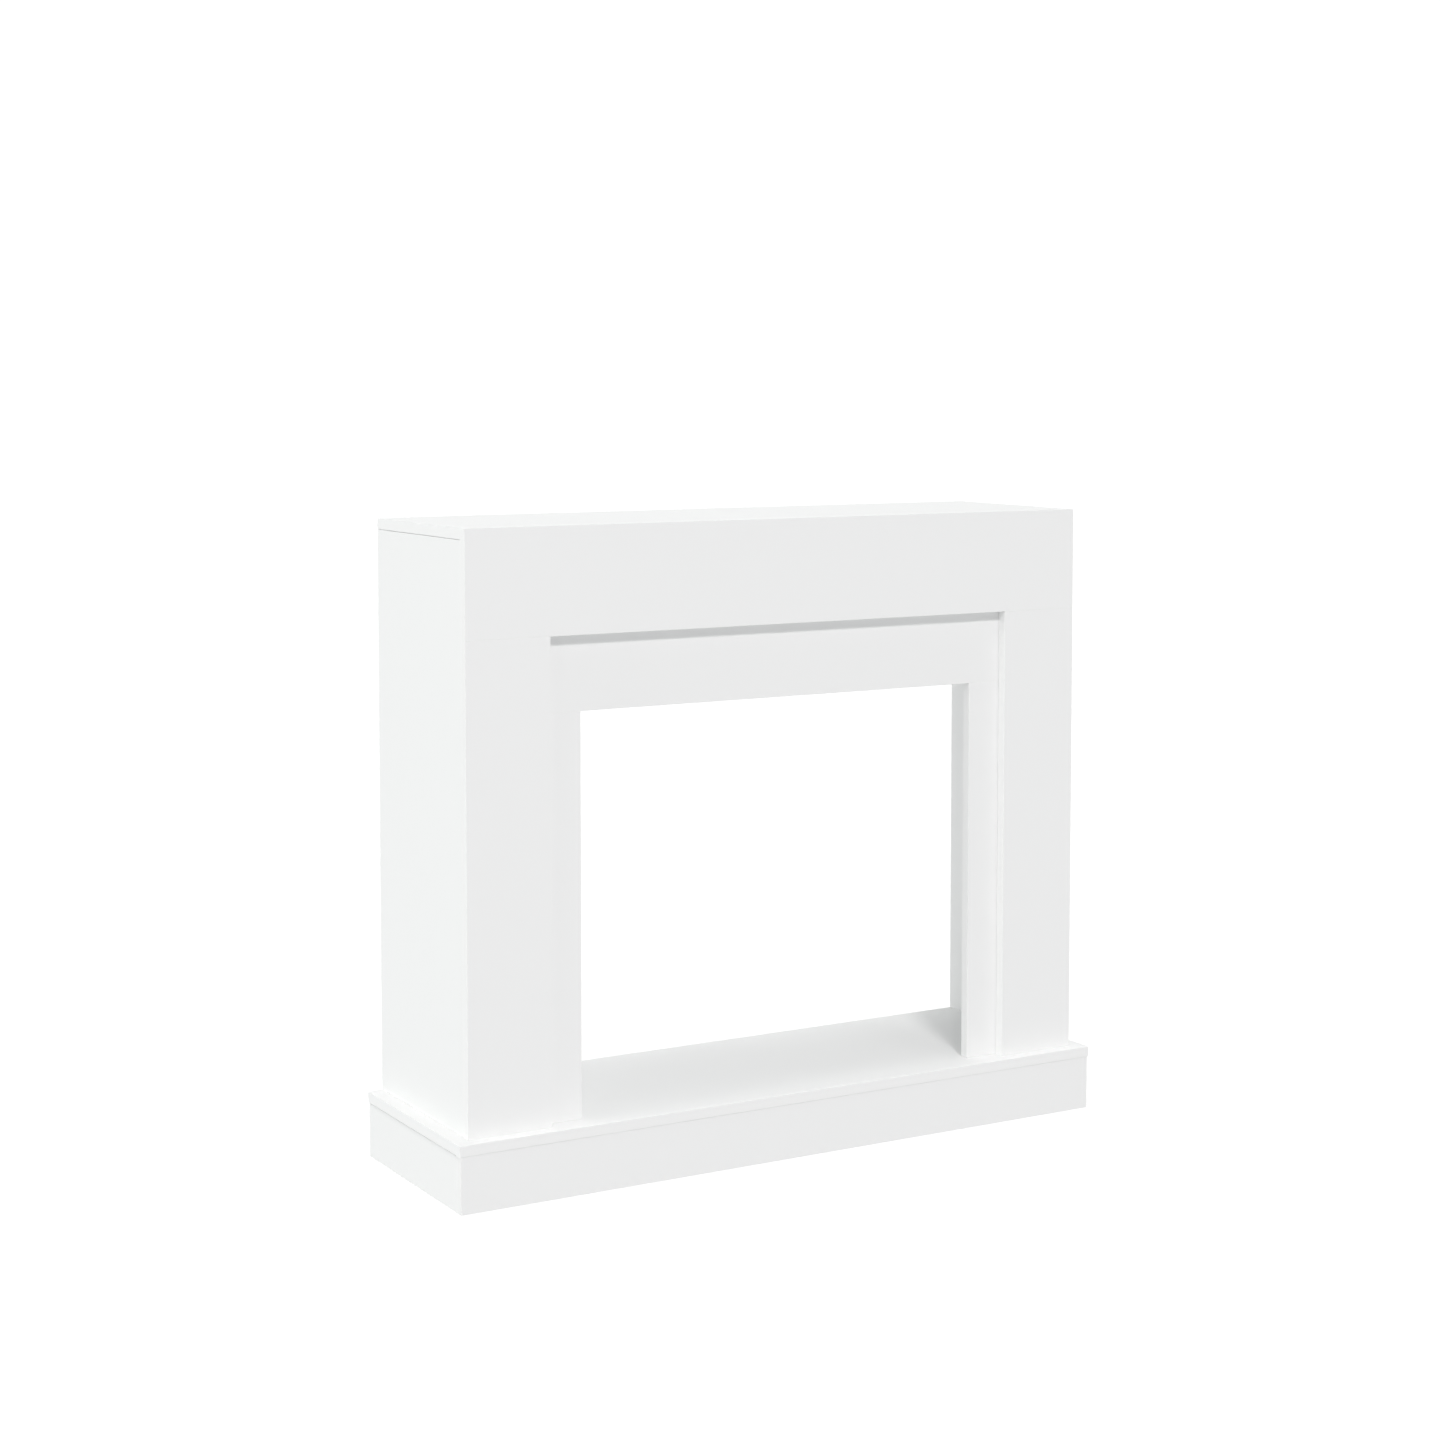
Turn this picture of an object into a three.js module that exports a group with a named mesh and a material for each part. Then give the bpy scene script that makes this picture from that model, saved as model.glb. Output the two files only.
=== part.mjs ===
// A free-standing fireplace mantelpiece of white laminated boards: a mantel box with a flat
// fascia, a recessed frame round the hearth opening, and a low plinth base.
// Millimetres, +Z up. The front faces -Y, and the origin is at the middle of the underside.
import * as THREE from 'three';
import { RoundedBoxGeometry } from 'three/addons/geometries/RoundedBoxGeometry.js';

// Whole object
const totalHeight = 950;
const surroundWidth = 1045; // over the outer faces of the two side panels
const surroundDepth = 304.5; // from the face of the fascia to the wall

// Board stock
const boardThickness = 16;
const arrisRadius = 1; // small round along every board edge
const arrisSegments = 1; // each one adds two facets to the round

// Base
const plinthHeight = 82; // floor to the underside of the slab
const slabSideOverhang = 22.5; // slab beyond the side panels
const slabFrontOverhang = 21.5; // slab beyond the fascia
const slabSideLip = 2; // slab beyond the side boards of the plinth
const slabFrontLip = 1; // slab beyond the front board of the plinth

// Front
const headerHeight = 155; // fascia board over the opening
const legWidth = 131; // fascia board of each leg
const openingWidth = 673; // between the stiles of the recessed frame
const openingHeight = 587; // slab to the underside of the rail

// Finish
const laminateWhite = 0xf4f5f5;
const laminateRoughness = 0.45;

// Planes that the boards share, from the front to the wall
const slabDepth = slabFrontOverhang + surroundDepth;
const slabFrontY = -slabDepth / 2;
const plinthFrontY = slabFrontY + slabFrontLip;
const fasciaFrontY = slabFrontY + slabFrontOverhang;
const frameFrontY = fasciaFrontY + boardThickness;
const frameRearY = frameFrontY + boardThickness;
const wallY = slabDepth / 2;

// Levels that the boards share, from the floor up
const hearthZ = plinthHeight + boardThickness;
const openingTopZ = hearthZ + openingHeight;
const headerBottomZ = totalHeight - headerHeight;
const topBoardZ = totalHeight - boardThickness;

// Distances from the middle plane to each side
const surroundSideX = surroundWidth / 2;
const panelInnerX = surroundSideX - boardThickness;
const slabSideX = surroundSideX + slabSideOverhang;
const plinthSideX = slabSideX - slabSideLip;
const plinthInnerX = plinthSideX - boardThickness;
const legInnerX = surroundSideX - legWidth;
const openingSideX = openingWidth / 2;

const sides = { left: -1, right: 1 };

// The stretch from near to far, measured from the middle plane towards one side.
function stretch(side, near, far) {
  const sign = sides[side];
  return [sign * near, sign * far].sort((a, b) => a - b);
}

// The stretch that reaches equally far to both sides of the middle plane.
function across(far) {
  return [-far, far];
}

// One board that fills the box given by its stretches along X, Y and Z.
function board(name, alongX, alongY, alongZ) {
  const stretches = [alongX, alongY, alongZ];
  const size = stretches.map(([from, to]) => to - from);
  const centre = stretches.map(([from, to]) => (from + to) / 2);
  const geometry = new RoundedBoxGeometry(...size, arrisSegments, arrisRadius);
  const material = new THREE.MeshStandardMaterial({
    color: laminateWhite,
    roughness: laminateRoughness,
    metalness: 0,
  });
  const mesh = new THREE.Mesh(geometry, material);
  mesh.name = name;
  mesh.position.set(...centre);
  return mesh;
}

// The slab on its four plinth boards. The front board covers the ends of the side boards,
// and the rear board sits between them.
function base() {
  const group = new THREE.Group();
  const frontBoardRearY = plinthFrontY + boardThickness;
  const underSlab = [0, plinthHeight];
  group.add(board('base_slab', across(slabSideX), [slabFrontY, wallY], [plinthHeight, hearthZ]));
  group.add(board('plinth_front_board', across(plinthSideX), [plinthFrontY, frontBoardRearY], underSlab));
  group.add(board('plinth_rear_board', across(plinthInnerX), [wallY - boardThickness, wallY], underSlab));
  for (const side of Object.keys(sides)) {
    const alongX = stretch(side, plinthInnerX, plinthSideX);
    group.add(board(`plinth_${side}_board`, alongX, [frontBoardRearY, wallY], underSlab));
  }
  return group;
}

// The box behind the fascia: two side panels that stand on the slab, with the top board over them.
function mantelBox() {
  const group = new THREE.Group();
  const behindFascia = [frameFrontY, wallY];
  for (const side of Object.keys(sides)) {
    const alongX = stretch(side, panelInnerX, surroundSideX);
    group.add(board(`side_panel_${side}`, alongX, behindFascia, [hearthZ, topBoardZ]));
  }
  group.add(board('top_board', across(surroundSideX), behindFascia, [topBoardZ, totalHeight]));
  return group;
}

// The front layer: a header over the full width, butted on two legs.
function fascia() {
  const group = new THREE.Group();
  const alongY = [fasciaFrontY, frameFrontY];
  group.add(board('fascia_header', across(surroundSideX), alongY, [headerBottomZ, totalHeight]));
  for (const side of Object.keys(sides)) {
    const alongX = stretch(side, legInnerX, surroundSideX);
    group.add(board(`fascia_leg_${side}`, alongX, alongY, [hearthZ, headerBottomZ]));
  }
  return group;
}

// The recessed layer behind the fascia, between the side panels: a rail over two stiles.
function openingFrame() {
  const group = new THREE.Group();
  const alongY = [frameFrontY, frameRearY];
  group.add(board('frame_rail', across(panelInnerX), alongY, [openingTopZ, topBoardZ]));
  for (const side of Object.keys(sides)) {
    const alongX = stretch(side, openingSideX, panelInnerX);
    group.add(board(`frame_stile_${side}`, alongX, alongY, [hearthZ, openingTopZ]));
  }
  return group;
}

const mantelpiece = new THREE.Group();
mantelpiece.add(base(), mantelBox(), fascia(), openingFrame());

export default mantelpiece;
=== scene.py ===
import math

import bpy
from mathutils import Euler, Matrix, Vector


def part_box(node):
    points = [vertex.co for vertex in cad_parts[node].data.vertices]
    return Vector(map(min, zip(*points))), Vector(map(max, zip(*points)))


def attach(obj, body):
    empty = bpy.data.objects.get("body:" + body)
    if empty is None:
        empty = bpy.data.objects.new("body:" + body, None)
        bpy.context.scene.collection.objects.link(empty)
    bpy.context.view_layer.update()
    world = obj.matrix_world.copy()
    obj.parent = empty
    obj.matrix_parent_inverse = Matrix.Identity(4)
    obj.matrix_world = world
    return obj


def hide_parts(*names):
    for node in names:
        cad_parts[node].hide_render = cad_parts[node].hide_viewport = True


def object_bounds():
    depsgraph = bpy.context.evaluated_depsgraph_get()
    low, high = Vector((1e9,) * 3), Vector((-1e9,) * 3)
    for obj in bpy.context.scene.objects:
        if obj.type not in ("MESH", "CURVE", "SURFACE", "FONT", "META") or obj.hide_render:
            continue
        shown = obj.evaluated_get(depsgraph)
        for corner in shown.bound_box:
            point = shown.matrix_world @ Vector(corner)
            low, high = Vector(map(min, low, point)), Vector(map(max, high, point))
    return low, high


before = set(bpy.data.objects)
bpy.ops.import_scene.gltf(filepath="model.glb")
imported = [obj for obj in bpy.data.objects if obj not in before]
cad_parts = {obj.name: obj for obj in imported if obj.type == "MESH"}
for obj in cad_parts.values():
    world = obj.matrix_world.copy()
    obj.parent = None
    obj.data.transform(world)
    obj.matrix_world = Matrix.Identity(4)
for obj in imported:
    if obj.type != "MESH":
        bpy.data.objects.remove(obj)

# A free-standing fireplace mantelpiece of white laminated boards.
# Metres, +Z up, the front faces -Y and the origin is at the middle of the underside.
cadLow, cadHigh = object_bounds()
millimetre = 0.001
sideNames = ("left", "right")
print("stage: the packed frame is loaded")


# One socket of a node tree. Sums on values add Math nodes, sums on vectors add Vector Math nodes.
class Wire:
    def __init__(self, graph, socket):
        self.graph = graph
        self.socket = socket

    def __add__(self, other):
        return self.graph.sum("ADD", self, other)

    def __radd__(self, other):
        return self.graph.sum("ADD", other, self)

    def __sub__(self, other):
        return self.graph.sum("SUBTRACT", self, other)

    def __rsub__(self, other):
        return self.graph.sum("SUBTRACT", other, self)

    def __mul__(self, other):
        return self.graph.sum("MULTIPLY", self, other)

    def __rmul__(self, other):
        return self.graph.sum("MULTIPLY", other, self)

    def __truediv__(self, other):
        return self.graph.sum("DIVIDE", self, other)

    def __rtruediv__(self, other):
        return self.graph.sum("DIVIDE", other, self)


# A node tree of any kind, with one method that adds nodes.
class Graph:
    def __init__(self, tree):
        self.tree = tree
        tree.nodes.clear()

    # Adds a node: its settings first, then the value or link of each socket, by name or number.
    # It gives back one output, by name or by number, or else the first one in use, if there is one.
    def node(self, kind, settings=None, values=None, output=None):
        made = self.tree.nodes.new(kind)
        for name, setting in (settings or {}).items():
            setattr(made, name, setting)
        for key, value in (values or {}).items():
            socket = made.inputs[key] if isinstance(key, int) else self.inUse(made.inputs, key)
            if isinstance(value, Wire):
                self.tree.links.new(value.socket, socket)
            elif socket.type == "VECTOR" and isinstance(value, (int, float)):
                socket.default_value = (value, value, value)
            else:
                socket.default_value = value
        if not made.outputs:
            return None
        if output is None:
            return Wire(self, self.inUse(made.outputs, None))
        return Wire(self, made.outputs[output])

    # The first socket in use, or the first one of that name.
    def inUse(self, sockets, name):
        return next(socket for socket in sockets if socket.enabled and name in (None, socket.name))

    def sum(self, operation, first, second):
        terms = [term for term in (first, second) if isinstance(term, Wire)]
        isVector = any(term.socket.type == "VECTOR" for term in terms)
        kind = "ShaderNodeVectorMath" if isVector else "ShaderNodeMath"
        return self.node(kind, {"operation": operation}, {0: first, 1: second})

    def vector(self, operation, first):
        return self.node("ShaderNodeVectorMath", {"operation": operation}, {0: first})

    # The three components of a vector.
    def parts(self, vector):
        split = self.node("ShaderNodeSeparateXYZ", values={0: vector}).socket.node
        return [Wire(self, socket) for socket in split.outputs]

    def leastOf(self, vector):
        x, y, z = self.parts(vector)
        least = self.node("ShaderNodeMath", {"operation": "MINIMUM"}, {0: x, 1: y})
        return self.node("ShaderNodeMath", {"operation": "MINIMUM"}, {0: least, 1: z})

    # From 0 to 1 as value goes from start to end, or back down where end is the smaller.
    def fade(self, value, start, end):
        smooth = {"interpolation_type": "SMOOTHSTEP"}
        return self.node("ShaderNodeMapRange", smooth, {0: value, 1: start, 2: end}, output=0)

    def blend(self, factor, first, second):
        colours = {0: factor, "A": first, "B": second}
        return self.node("ShaderNodeMix", {"data_type": "RGBA"}, colours, output=2)

    # A vector that the mesh carries at each point.
    def carried(self, name):
        return self.node("ShaderNodeAttribute", {"attribute_name": name}, output="Vector")


# The finish of every board: melamine with a fine pearl emboss, and an edge band round the rim.
laminate = {
    "faceColour": (0.930, 0.933, 0.931, 1),
    "bandColour": (0.936, 0.938, 0.935, 1),
    "glueColour": (0.85, 0.85, 0.835, 1),
    "mottleColour": (0.923, 0.927, 0.925, 1),
    "mottleGrain": 70 * millimetre,
    "mottleDetail": 3.0,
    "bandThickness": 0.8 * millimetre,
    "bandSoftness": 0.06 * millimetre,
    "glueLine": 0.12 * millimetre,
    "pearlGrain": 0.9 * millimetre,
    "pearlDetail": 1.5,
    "pearlDepth": 0.018 * millimetre,
    "bandDepthShare": 0.35,
    "faceRoughness": 0.54,
    "bandRoughness": 0.44,
    "roughnessSpread": 0.07,
    "refraction": 1.5,
}


def whiteLaminate():
    material = bpy.data.materials.new("whiteLaminate")
    material.use_nodes = True
    graph = Graph(material.node_tree)
    place = graph.node("ShaderNodeTexCoord", output="Object")
    fromRim = graph.leastOf(
        graph.carried("rimHalf") - graph.vector("ABSOLUTE", graph.carried("fromMiddle"))
    )

    def noise(grain, detail):
        values = {"Vector": place, "Scale": 1 / grain, "Detail": detail}
        return graph.node("ShaderNodeTexNoise", values=values, output=0)

    # The band is a strip round the rim, seen edge-on from the face, and a hairline of glue
    # shows behind it.
    bandEdge, softness = laminate["bandThickness"], laminate["bandSoftness"]
    band = graph.fade(fromRim, bandEdge + softness, bandEdge - softness)
    fromGlue = graph.node("ShaderNodeMath", {"operation": "ABSOLUTE"}, {0: fromRim - bandEdge})
    glue = graph.fade(fromGlue, laminate["glueLine"] / 2, 0.0)

    mottle = noise(laminate["mottleGrain"], laminate["mottleDetail"])
    pearl = noise(laminate["pearlGrain"], laminate["pearlDetail"])
    colour = graph.blend(mottle, laminate["faceColour"], laminate["mottleColour"])
    colour = graph.blend(band, colour, laminate["bandColour"])
    colour = graph.blend(glue, colour, laminate["glueColour"])
    bandGloss = laminate["bandRoughness"] - laminate["faceRoughness"]
    sheen = laminate["faceRoughness"] + bandGloss * band
    roughness = sheen + (mottle - 0.5) * laminate["roughnessSpread"]
    emboss = {
        "Strength": 1.0,
        "Distance": laminate["pearlDepth"],
        "Height": pearl * (1 - band * (1 - laminate["bandDepthShare"])),
    }
    finish = {
        "Base Color": colour,
        "Roughness": roughness,
        "IOR": laminate["refraction"],
        "Normal": graph.node("ShaderNodeBump", values=emboss),
    }
    surface = graph.node("ShaderNodeBsdfPrincipled", values=finish)
    graph.node("ShaderNodeOutputMaterial", values={"Surface": surface})
    return material


# A board of any size, as a tree: a cube whose middle cells stretch into the flat faces and whose
# outer cells roll over every edge as a small round, in equal steps of angle.
def laminatedBoard():
    tree = bpy.data.node_groups.new("laminatedBoard", "GeometryNodeTree")
    tree.is_modifier = True
    for name, kind in (
        ("Size", "Vector"), ("Centre", "Vector"), ("Thin axis", "Vector"),
        ("Arris radius", "Float"), ("Arris steps", "Int"), ("Finish", "Material"),
    ):
        tree.interface.new_socket(name=name, in_out="INPUT", socket_type="NodeSocket" + kind)
    tree.interface.new_socket(name="Board", in_out="OUTPUT", socket_type="NodeSocketGeometry")
    graph = Graph(tree)

    def given(name):
        return graph.node("NodeGroupInput", output=name)

    def keep(mesh, name, value):
        stored = {"Geometry": mesh, "Name": name, "Value": value}
        vectors = {"data_type": "FLOAT_VECTOR"}
        return graph.node("GeometryNodeStoreNamedAttribute", vectors, stored)

    cells = given("Arris steps") * 2 + 1
    counts = {name: cells + 1 for name in ("Vertices X", "Vertices Y", "Vertices Z")}
    cube = graph.node("GeometryNodeMeshCube", values={"Size": 1, **counts}, output="Mesh")
    corner = graph.node("GeometryNodeInputPosition")
    side = graph.vector("SIGN", corner)
    halfCell = 0.5 / cells
    reach = 0.5 - halfCell
    turn = (corner - side * halfCell) / reach * (math.pi / 4)
    outward = graph.vector("NORMALIZE", graph.vector("TANGENT", turn))

    half = given("Size") * 0.5
    radius = given("Arris radius")
    fromMiddle = side * (half - radius) + outward * radius
    farAway = 10.0  # the thin axis has no rim of its own
    board = keep(cube, "fromMiddle", fromMiddle)
    board = keep(board, "rimHalf", half + given("Thin axis") * farAway)
    board = keep(board, "outward", outward)
    moved = {"Geometry": board, "Position": given("Centre") + fromMiddle}
    board = graph.node("GeometryNodeSetPosition", values=moved)
    board = graph.node("GeometryNodeRealizeInstances", values={"Geometry": board})
    finished = {"Geometry": board, "Material": given("Finish")}
    board = graph.node("GeometryNodeSetMaterial", values=finished)
    graph.node("NodeGroupOutput", values={"Board": board})
    return tree


boardFinish = whiteLaminate()
boardTree = laminatedBoard()
boardSockets = {item.name: item.identifier for item in boardTree.interface.items_tree}


# One board in place of a CAD node, with that node's own extents. It can stop a hair short of the
# board above it or in front of it, and that joint then shows as a fine dark line.
def makeBoard(pieceName, nodeName, choices):
    low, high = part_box(nodeName)
    high.z -= choices.get("gapAbove", 0.0)
    low.y += choices.get("gapInFront", 0.0)
    size = high - low
    thinAxis = min(range(3), key=lambda axis: size[axis])
    settings = {
        "Size": size,
        "Centre": (low + high) / 2,
        "Thin axis": Vector([float(axis == thinAxis) for axis in range(3)]),
        "Arris radius": choices["arrisRadius"],
        "Arris steps": choices["arrisSteps"],
        "Finish": boardFinish,
    }
    piece = bpy.data.objects.new(pieceName, bpy.data.meshes.new(pieceName))
    bpy.context.scene.collection.objects.link(piece)
    modifier = piece.modifiers.new("laminatedBoard", "NODES")
    modifier.node_group = boardTree
    for name, value in settings.items():
        modifier[boardSockets[name]] = value
    depsgraph = bpy.context.evaluated_depsgraph_get()
    mesh = bpy.data.meshes.new_from_object(piece.evaluated_get(depsgraph))
    piece.modifiers.clear()
    piece.data = mesh
    mesh.name = pieceName
    # The tree knows the true direction at every point, so the flats stay flat up to their arrises.
    mesh.shade_smooth()
    outward = [item.vector[:] for item in mesh.attributes["outward"].data]
    mesh.normals_split_custom_set_from_vertices(outward)
    mesh.attributes.remove(mesh.attributes["outward"])
    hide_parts(nodeName)
    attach(piece, "root")


# The slab and the four boards of the plinth under it.
baseBoards = {
    "slab": dict(arrisRadius=0.6 * millimetre, arrisSteps=4),
    "plinthFace": dict(arrisRadius=0.4 * millimetre, arrisSteps=4),
    "plinthSide": dict(arrisRadius=0.25 * millimetre, arrisSteps=4, gapAbove=1.65 * millimetre),
}


def makeBase():
    makeBoard("slab", "base_slab", baseBoards["slab"])
    for place in ("front", "rear"):
        makeBoard("plinth" + place.capitalize(), f"plinth_{place}_board", baseBoards["plinthFace"])
    for side in sideNames:
        makeBoard("plinth" + side.capitalize(), f"plinth_{side}_board", baseBoards["plinthSide"])
    print("stage: the base is made")


# The side panels, with the top board over them.
mantelBoxBoards = {
    "panel": dict(arrisRadius=0.5 * millimetre, arrisSteps=4, gapAbove=0.45 * millimetre),
    "top": dict(arrisRadius=0.6 * millimetre, arrisSteps=4),
}


def makeMantelBox():
    for side in sideNames:
        makeBoard("sidePanel" + side.capitalize(), f"side_panel_{side}", mantelBoxBoards["panel"])
    makeBoard("topBoard", "top_board", mantelBoxBoards["top"])
    print("stage: the mantel box is made")


# The header over its two legs, the layer nearest the viewer.
fasciaBoards = {
    "header": dict(arrisRadius=0.35 * millimetre, arrisSteps=4),
    "leg": dict(arrisRadius=0.35 * millimetre, arrisSteps=4),
}


def makeFascia():
    makeBoard("fasciaHeader", "fascia_header", fasciaBoards["header"])
    for side in sideNames:
        makeBoard("fasciaLeg" + side.capitalize(), f"fascia_leg_{side}", fasciaBoards["leg"])
    print("stage: the fascia is made")


# The recessed rail and stiles round the hearth opening.
frameBoards = {
    "rail": dict(arrisRadius=0.35 * millimetre, arrisSteps=4, gapInFront=0.4 * millimetre),
    "stile": dict(arrisRadius=0.35 * millimetre, arrisSteps=4, gapInFront=0.4 * millimetre),
}


def makeOpeningFrame():
    makeBoard("frameRail", "frame_rail", frameBoards["rail"])
    for side in sideNames:
        makeBoard("frameStile" + side.capitalize(), f"frame_stile_{side}", frameBoards["stile"])
    print("stage: the frame round the opening is made")


# A white floor that glows, as a studio sweep does when it is lit to plain white. It is plain
# white to the camera, softer as a light, and clear from below.
floorChoices = {
    "halfSide": 14.0,
    "seenGlow": 1.1,
    "feltGlow": 0.587,
    "glowColour": (0.984, 0.993, 1, 1),
    "colour": (0.12, 0.12, 0.12, 1),
}


def makeFloor():
    reach = floorChoices["halfSide"]
    corners = [(-reach, -reach, 0), (reach, -reach, 0), (reach, reach, 0), (-reach, reach, 0)]
    mesh = bpy.data.meshes.new("studioFloor")
    mesh.from_pydata(corners, [], [(0, 1, 2, 3)])
    floor = bpy.data.objects.new("studioFloor", mesh)
    bpy.context.scene.collection.objects.link(floor)
    material = bpy.data.materials.new("studioFloor")
    material.use_nodes = True
    graph = Graph(material.node_tree)
    white = graph.node("ShaderNodeEmission", values={"Strength": floorChoices["seenGlow"]})
    feltGlow = {"Color": floorChoices["glowColour"], "Strength": floorChoices["feltGlow"]}
    glow = graph.node("ShaderNodeEmission", values=feltGlow)
    paint = graph.node("ShaderNodeBsdfDiffuse", values={"Color": floorChoices["colour"]})
    felt = graph.node("ShaderNodeAddShader", values={0: glow, 1: paint})
    toCamera = graph.node("ShaderNodeLightPath", output="Is Camera Ray")
    lit = graph.node("ShaderNodeMixShader", values={0: toCamera, 1: felt, 2: white})
    clear = graph.node("ShaderNodeBsdfTransparent")
    under = graph.node("ShaderNodeNewGeometry", output="Backfacing")
    sheet = graph.node("ShaderNodeMixShader", values={0: under, 1: lit, 2: clear})
    graph.node("ShaderNodeOutputMaterial", values={"Surface": sheet})
    mesh.materials.append(material)
    print("stage: the floor is made")


# The white room: plain white to the camera, softer as a light, and brighter to the right and rear.
room = {
    "seenGlow": 1.1,
    "feltGlow": 0.483,
    "moreToTheRight": 0.305,
    "moreToTheRear": 0.157,
    "colour": (0.979, 1, 0.995, 1),
}


def makeRoom():
    world = bpy.data.worlds.new("whiteRoom")
    world.use_nodes = True
    graph = Graph(world.node_tree)
    right, rear, _ = graph.parts(graph.node("ShaderNodeTexCoord", output="Generated"))
    strength = room["feltGlow"] + right * room["moreToTheRight"] + rear * room["moreToTheRear"]
    seenGlow = {"Color": (1, 1, 1, 1), "Strength": room["seenGlow"]}
    feltGlow = {"Color": room["colour"], "Strength": strength}
    seen = graph.node("ShaderNodeBackground", values=seenGlow)
    felt = graph.node("ShaderNodeBackground", values=feltGlow)
    toCamera = graph.node("ShaderNodeLightPath", output="Is Camera Ray")
    mixed = graph.node("ShaderNodeMixShader", values={0: toCamera, 1: felt, 2: seen})
    graph.node("ShaderNodeOutputWorld", values={"Surface": mixed})
    bpy.context.scene.world = world
    print("stage: the room is made")


# Softboxes, far off and aimed at the middle of the object. Azimuth 0 is in front and 90 at its
# right. All angles are in degrees, and wide and high are how large the light looks from there.
softboxDistance = 30.0
keyColour = (1, 0.975, 0.979)
leftColour = (0.98, 1, 0.983)
plainWhite = (1, 1, 1)
softboxes = {
    "key": dict(azimuth=-18, elevation=42, wide=8, high=4, glow=84.5, colour=keyColour),
    "keyLow": dict(azimuth=-22, elevation=38, wide=16, high=4, glow=21.7, colour=keyColour),
    "keyRight": dict(azimuth=20, elevation=40, wide=24, high=9, glow=2.53, colour=keyColour),
    "overFront": dict(azimuth=0, elevation=86, wide=50, high=8, glow=1.81, colour=plainWhite),
    "overRear": dict(azimuth=180, elevation=86, wide=50, high=8, glow=1.24, colour=plainWhite),
    "leftLow": dict(azimuth=-90, elevation=10, wide=16, high=10, glow=11.6, colour=leftColour),
    "leftTall": dict(azimuth=-90, elevation=20, wide=12, high=40, glow=3.44, colour=leftColour),
    "leftFront": dict(azimuth=-60, elevation=15, wide=20, high=30, glow=1.22, colour=leftColour),
    "rearLow": dict(azimuth=180, elevation=8, wide=80, high=16, glow=0.62, colour=plainWhite),
    "rightWall": dict(azimuth=90, elevation=18, wide=40, high=34, glow=0.23, colour=plainWhite),
}


def makeSoftboxes():
    aim = Vector((0, 0, cadHigh.z / 2))
    for name, choices in softboxes.items():
        azimuth, elevation = math.radians(choices["azimuth"]), math.radians(choices["elevation"])
        towards = Vector((
            math.sin(azimuth) * math.cos(elevation),
            -math.cos(azimuth) * math.cos(elevation),
            math.sin(elevation),
        ))
        light = bpy.data.lights.new(name, "AREA")
        light.shape = "RECTANGLE"
        light.size = 2 * softboxDistance * math.tan(math.radians(choices["wide"] / 2))
        light.size_y = 2 * softboxDistance * math.tan(math.radians(choices["high"] / 2))
        light.energy = choices["glow"] * light.size * light.size_y * math.pi
        light.color = choices["colour"]
        lamp = bpy.data.objects.new(name, light)
        lamp.location = aim + towards * softboxDistance
        lamp.rotation_euler = Euler((math.pi / 2 - elevation, 0, azimuth))
        lamp.visible_camera = False
        bpy.context.scene.collection.objects.link(lamp)
    print("stage: the lights are made")


# The viewpoint of the photograph. A small shift keeps the upright edges almost parallel.
viewpoint = {
    "place": (-2.0421, -3.4553, 1.1621),
    "turn": 30.146,  # degrees to the right of straight at the front
    "tilt": 3.745,  # degrees below level
    "lens": 66.371,
    "sensor": 36,
    "shift": -0.12,
    "nearest": 0.05,
    "farthest": 100,
}


def makeCamera():
    data = bpy.data.cameras.new("viewpoint")
    data.lens, data.sensor_width = viewpoint["lens"], viewpoint["sensor"]
    data.shift_y = viewpoint["shift"]
    data.clip_start, data.clip_end = viewpoint["nearest"], viewpoint["farthest"]
    camera = bpy.data.objects.new("viewpoint", data)
    camera.location = viewpoint["place"]
    camera.rotation_euler = Euler((
        math.radians(90 - viewpoint["tilt"]), 0, -math.radians(viewpoint["turn"]),
    ))
    bpy.context.scene.collection.objects.link(camera)
    bpy.context.scene.camera = camera
    bpy.context.scene.view_settings.view_transform = "Standard"
    print("stage: the camera is set")


makeBase()
makeMantelBox()
makeFascia()
makeOpeningFrame()
makeFloor()
makeRoom()
makeSoftboxes()
makeCamera()
